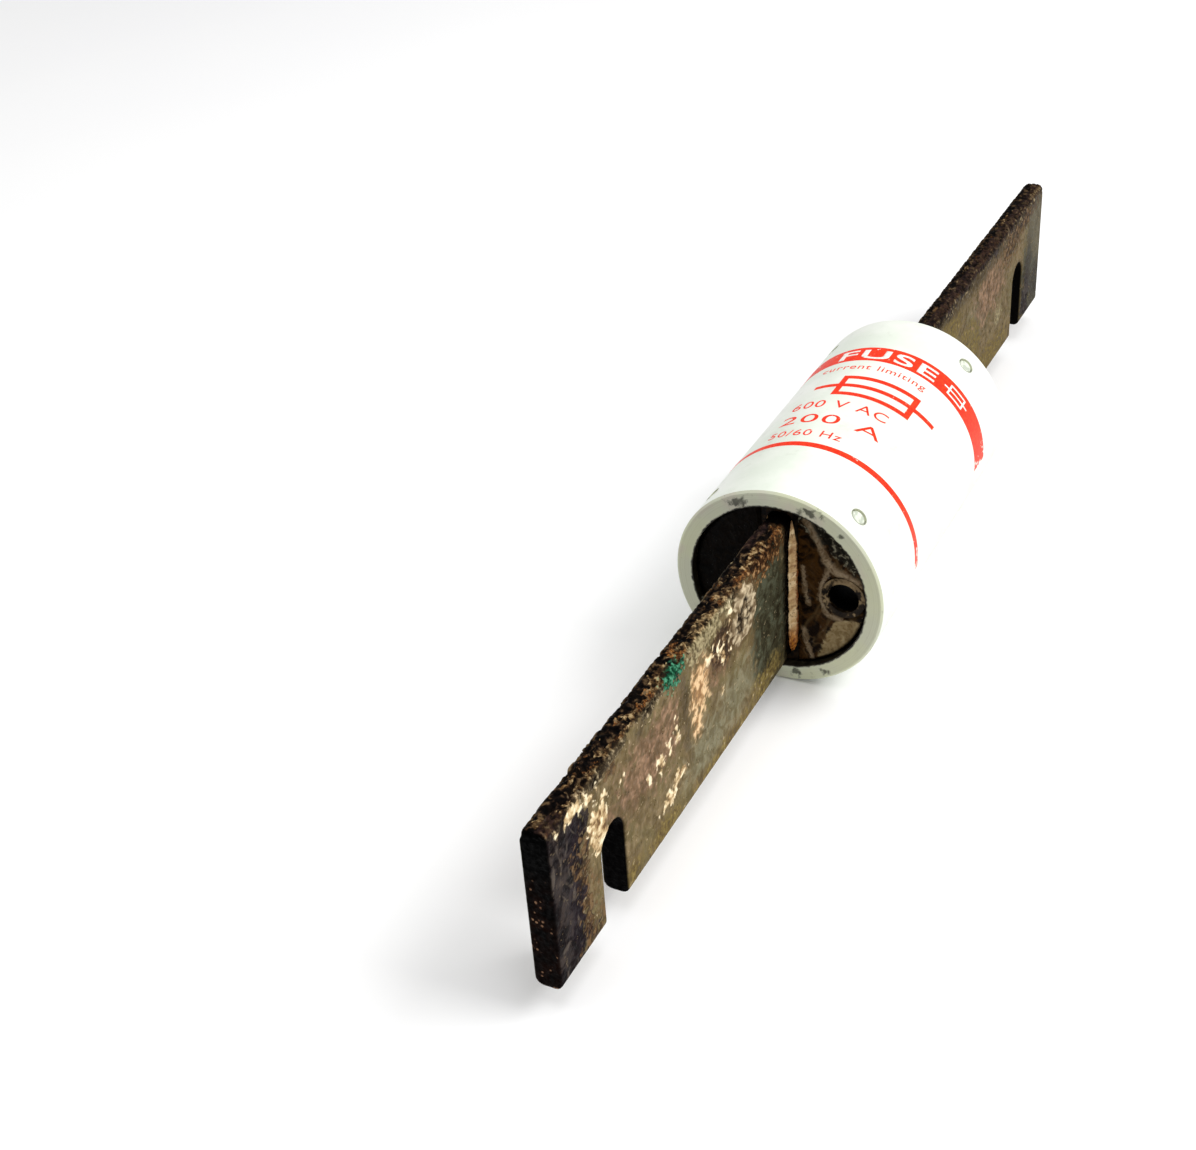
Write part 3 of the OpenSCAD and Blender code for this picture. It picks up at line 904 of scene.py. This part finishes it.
def braze_look():
    look = Look("braze")
    fine = look.noise(1.2, 3, 0.55)
    bands = look.noise(0.7, 3, 0.5, look.stretch(0.4, 0.4, 1))
    colour = look.ramp(bands, (0.1, 162, 122, 80), (0.5, 206, 170, 119), (0.9, 232, 203, 156))
    colour = look.over(colour, look.step(fine, 0.30, 0.05), 0.6, (104, 68, 36))
    low = look.step(look.plus(look.z, fine), -6.0, -12.0)
    colour = look.mix(low, colour, look.mix(fine, (104, 50, 10), (206, 132, 48)))
    edge = look.plus(look.absolute(look.y), look.times(fine, 0.35))
    colour = look.mix(look.step(edge, FILLET_LEG - 0.25, FILLET_LEG + 0.05), colour, (122, 70, 28))
    # painted shade: the top of the bead, where the blade's top meets the block, is darker
    colour = look.over(colour, look.step(look.z, 12.5, 14.6), 0.7, (84, 52, 26))
    look.set(Base_Color=colour, Specular_IOR_Level=0.25)
    look.bump(fine, 0.12, 0.6)
    return look


# ---------------- print on the tube

INK_LIFT = 0.02  # the ink stands this far out of the tube, and a second ink over it twice as far
INK_SINK = 0.03
BEND_STEP = 0.8
BEND_STEPS = 60  # on each side of the middle


def wrapped(name, bm, x0, angle0, lift, look):
    """Bends flat print round the tube, as a thin closed skin that starts just under the tube's surface.

    The flat x runs round the tube and the flat y along it, in millimetres."""
    for step in range(-BEND_STEPS, BEND_STEPS + 1):
        bmesh.ops.bisect_plane(bm, geom=bm.verts[:] + bm.edges[:] + bm.faces[:], dist=1e-5,
                               plane_co=(step * BEND_STEP, 0, 0), plane_no=(1, 0, 0))
    bmesh.ops.triangulate(bm, faces=bm.faces)
    top = {v: v.co.copy() for v in bm.verts}
    faces = [tuple(f.verts) for f in bm.faces]
    borders = [(e.verts[0], e.verts[1]) for e in bm.edges if len(e.link_faces) == 1]

    def on_tube(flat, radius):
        angle = math.radians(angle0) + flat.x / TUBE_R
        return Vector((x0 + flat.y, radius * math.cos(angle), radius * math.sin(angle))) * MM

    low = {v: bm.verts.new(on_tube(flat, TUBE_R - INK_SINK)) for v, flat in top.items()}
    for verts in faces:
        bm.faces.new([low[v] for v in reversed(verts)])
    for a, b in borders:
        bm.faces.new((b, a, low[a], low[b]))
    for v, flat in top.items():
        v.co = on_tube(flat, TUBE_R + lift)
    obj = new_object(name, mesh_of(bm, name))
    wear(obj, look)
    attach(obj, "root")


def flat_strips(strips):
    """Flat rectangles (x0, x1, y0, y1), in millimetres."""
    bm = bmesh.new()
    for x0, x1, y0, y1 in strips:
        bm.faces.new([bm.verts.new(p) for p in ((x0, y0, 0), (x1, y0, 0), (x1, y1, 0), (x0, y1, 0))])
    return bm


def flat_text(body, size, stretch, heavy=0.0):
    """Flat letters from the built-in font, in millimetres, starting at the origin."""
    curve = bpy.data.curves.new("letters", "FONT")
    curve.body = body
    curve.size = size
    curve.offset = heavy
    curve.space_character = 1.12
    obj = new_object("letters", curve)
    evaluated = obj.evaluated_get(bpy.context.evaluated_depsgraph_get())
    mesh = bpy.data.meshes.new_from_object(evaluated)
    bpy.data.objects.remove(obj)
    bm = bmesh.new()
    bm.from_mesh(mesh)
    bpy.data.meshes.remove(mesh)
    bmesh.ops.remove_doubles(bm, verts=bm.verts, dist=1e-4)
    for v in bm.verts:
        v.co.x *= stretch
    return bm


def flat_arc(x0, x1, first_angle, last_angle):
    """A strip along the tube from x0 to x1, as long as the arc between two angles."""
    half_length = math.radians(last_angle - first_angle) * TUBE_R / 2
    return flat_strips([(-half_length, half_length, x0, x1)])


def flat_symbol(half_wire, half_length, half_height, line, half_thick):
    """The electrical symbol of a fuse: a wire through a box drawn with a line."""
    strips = [(-half_wire, half_wire, -half_thick, half_thick),
              (-half_length, half_length, half_height - line, half_height),
              (-half_length, half_length, -half_height, line - half_height)]
    for side in ((-half_length, line - half_length), (half_length - line, half_length)):
        strips.append((*side, line - half_height, -half_thick))
        strips.append((*side, half_thick, half_height - line))
    return flat_strips(strips)


def ink_look(name, dark, light):
    """Ink that varies a little, with small worn spots, more of them low on the tube."""
    look = Look(name, roughness=0.45)
    fine = look.noise(1.6, 3, 0.55)
    colour = look.mix(look.step(fine, 0.3, 0.75), dark, light)
    colour = look.over(colour, look.step(look.noise(0.25, 2, 0.5), 0.5, 0.75), 0.25, light)
    low_end = look.times(look.step(look.z, 4.5, -1.5), 0.55)
    worn = look.step(look.plus(look.noise(0.8, 4, 0.6), low_end), 1.02, 1.14)
    look.set(Base_Color=look.mix(worn, colour, (236, 238, 228)), Specular_IOR_Level=0.2)
    look.bump(fine, 0.012, 0.5)
    return look


def tube_print():
    """Generic marks only: the word for the part, its electrical symbol, and plain ratings."""
    red = ink_look("red_ink", (232, 40, 8), (243, 58, 16))
    white = ink_look("white_ink", (236, 226, 216), (250, 246, 242))
    over_red = 2 * INK_LIFT
    marks = (
        ("print_band", flat_arc(17.5, 23.5, 20, 182), 0, 101, INK_LIFT, red),
        ("print_line", flat_arc(-19.5, -17.9, 20, 186), 0, 103, INK_LIFT, red),
        ("print_word", flat_text("FUSE", 5.5, 1.72, 0.10), 18.5, 62, over_red, white),
        ("print_symbol_small", flat_symbol(3.5, 2.3, 1.75, 0.45, 0.2), 20.5, 138, over_red, white),
        ("print_limiting", flat_text("current limiting", 2.9, 1.1), 13.6, 58, INK_LIFT, red),
        ("print_symbol_large", flat_symbol(13.44, 8.32, 4.16, 1.28, 0.64), 6.2, 100, INK_LIFT, red),
        ("print_volts", flat_text("600 V AC", 4.2, 1.1), -3.4, 58, INK_LIFT, red),
        ("print_amperes", flat_text("200 A", 5.0, 1.6), -9.9, 58, INK_LIFT, red),
        ("print_hertz", flat_text("50/60 Hz", 3.4, 1.1), -15.3, 58, INK_LIFT, red),
    )
    for name, flat, x, angle, lift, ink in marks:
        wrapped(name, flat, x, angle, lift, ink)


# ---------------- looks of the other CAD pieces

def grained(name, dark, light, roughness, metallic):
    """A plain material whose colour, gloss and relief follow a fine grain."""
    look = Look(name, metallic=metallic)
    fine = look.noise(0.9, 4, 0.55)
    colour = look.mix(look.step(fine, 0.3, 0.7), dark, light)
    colour = look.over(colour, look.step(look.noise(0.25, 3, 0.5), 0.55, 0.8), 0.5, dark)
    look.set(Base_Color=colour, Roughness=look.plus(look.wobble(fine, 0.15), roughness))
    look.bump(fine, 0.02, 0.6)
    return look


def plug_look():
    """A varnished rim, paler towards the top, round a nearly black plug."""
    look = Look("plug_varnished", roughness=0.4)
    fine = look.noise(0.9, 4, 0.55)
    upper = look.step(look.plus(look.times(look.z, 0.16), look.wobble(fine, 0.8)), -0.3, 0.5)
    colour = look.mix(upper, look.mix(fine, (14, 8, 4), (50, 37, 22)),
                      look.mix(fine, (84, 67, 44), (140, 120, 90)))
    deep = look.step(look.absolute(look.x), FACE_X + 0.1, FACE_X - 0.5)
    look.set(Base_Color=look.mix(deep, colour, (2, 2, 3)), Specular_IOR_Level=0.1)
    look.bump(fine, 0.05, 0.6)
    return look


def sand_look():
    look = Look("packed_quartz_sand", roughness=0.9)
    grains = look.cells(3.2)
    colour = look.mix(look.step(grains, 0.1, 0.6), (222, 212, 190), (150, 136, 112))
    look.set(Base_Color=look.over(colour, look.noise(0.4, 4, 0.6), 0.4, (196, 176, 140)))
    look.bump(grains, 0.2, 0.8)
    return look


def dress_cad_nodes():
    """Gives each CAD node the look of the piece that its name contains."""
    block = grained("block_brass", (6, 3, 2), (34, 23, 12), 0.5, 0.0)
    block.set(Specular_IOR_Level=0.05)
    looks = {
        "fuse_tube": tube_look(),
        "end_block": block,
        "drive_pin": grained("pin_plated_steel", (192, 199, 183), (222, 227, 212), 0.45, 0.1),
        "sealing_ring": grained("red_fibre", (110, 30, 20), (150, 50, 34), 0.8, 0.0),
        "fuse_element": grained("rolled_silver", (176, 174, 168), (232, 230, 224), 0.28, 1.0),
        "overload_bead": grained("tin_solder", (128, 130, 132), (176, 178, 180), 0.4, 0.9),
        "fill_plug": plug_look(),
        "quartz_filler": sand_look(),
    }
    for name, obj in nodes.items():
        for piece, look in looks.items():
            if piece in name:
                wear(obj, look)


# ---------------- floor, light and camera

FLOOR_REACH = 3  # metres each way
WORLD_STRENGTH = 0.40
# Softboxes as (name, place and size in metres, power in watts). Each points at the middle of the fuse.
SOFTBOXES = (("key", (0.25, -0.75, 0.85), (0.7, 0.5), 9), ("overhead", (0.0, -0.1, 1.2), (1.2, 1.2), 9))
# The photo's camera, worked out from the fuse's outlines in the photo: metres, degrees and millimetres
CAMERA_PLACE = Vector((-0.30115, -0.11090, 0.19359))
CAMERA_TARGET = Vector((-0.02983, 0.03971, -0.01036))
CAMERA_ROLL = 4.33
CAMERA_LENS = 55.64
CAMERA_SENSOR = 36
CAMERA_SHIFT = (-0.0088, -0.0031)


def floor():
    mesh = bpy.data.meshes.new("floor")
    corners = [(x * FLOOR_REACH, y * FLOOR_REACH, 0) for x, y in ((-1, -1), (1, -1), (1, 1), (-1, 1))]
    mesh.from_pydata(corners, [], [(0, 1, 2, 3)])
    obj = new_object("floor", mesh)
    obj.location.z = -TUBE_R * MM
    look = Look("pale_floor", roughness=0.6)
    look.set(Base_Color=look.mix(look.noise(0.004, 3, 0.5), (0.95, 0.95, 0.955, 1), (0.98, 0.98, 0.975, 1)))
    wear(obj, look)


def lights():
    world = bpy.data.worlds.new("studio")
    world.use_nodes = True
    background = world.node_tree.nodes["Background"]
    background.inputs["Color"].default_value = (1.0, 1.0, 1.0, 1)
    background.inputs["Strength"].default_value = WORLD_STRENGTH
    bpy.context.scene.world = world
    for name, place, size, power in SOFTBOXES:
        light = bpy.data.lights.new(name, "AREA")
        light.shape = "RECTANGLE"
        light.size, light.size_y = size
        light.energy = power
        obj = new_object(name, light)
        obj.location = place
        obj.rotation_euler = (-Vector(place)).to_track_quat("-Z", "Y").to_euler()


def camera():
    data = bpy.data.cameras.new("camera")
    data.sensor_width = CAMERA_SENSOR
    data.lens = CAMERA_LENS
    data.shift_x, data.shift_y = CAMERA_SHIFT
    data.clip_start, data.clip_end = 0.01, 20
    obj = new_object("camera", data)
    aim = (CAMERA_TARGET - CAMERA_PLACE).to_track_quat("-Z", "Y").to_matrix()
    roll = Matrix.Rotation(math.radians(-CAMERA_ROLL), 3, "Z")
    obj.matrix_world = Matrix.Translation(CAMERA_PLACE) @ (aim @ roll).to_4x4()
    bpy.context.scene.camera = obj


# ---------------- build

# For each end: its side, its blade's patches, seed, texture offset and share of painted shade, and its face's
# seed
ENDS = (("left", LEFT_PATCHES, 1, 3.0, 0.0, 2.5), ("right", RIGHT_PATCHES, 5, 47.0, 0.2, 9.5))

dress_cad_nodes()
film_look, bead_look = varnish_look(), braze_look()
for end_side, patches, blade_seed, blade_offset, blade_painted_shade, face_seed in ENDS:
    wear(corroded_blade(end_side, patches, blade_seed), blade_look(end_side, blade_offset, blade_painted_shade))
    wear(varnish(end_side, face_seed), film_look)
    wear(braze_beads(end_side, face_seed), bead_look)
tube_print()
floor()
lights()
camera()
bpy.context.scene.view_settings.view_transform = "Standard"
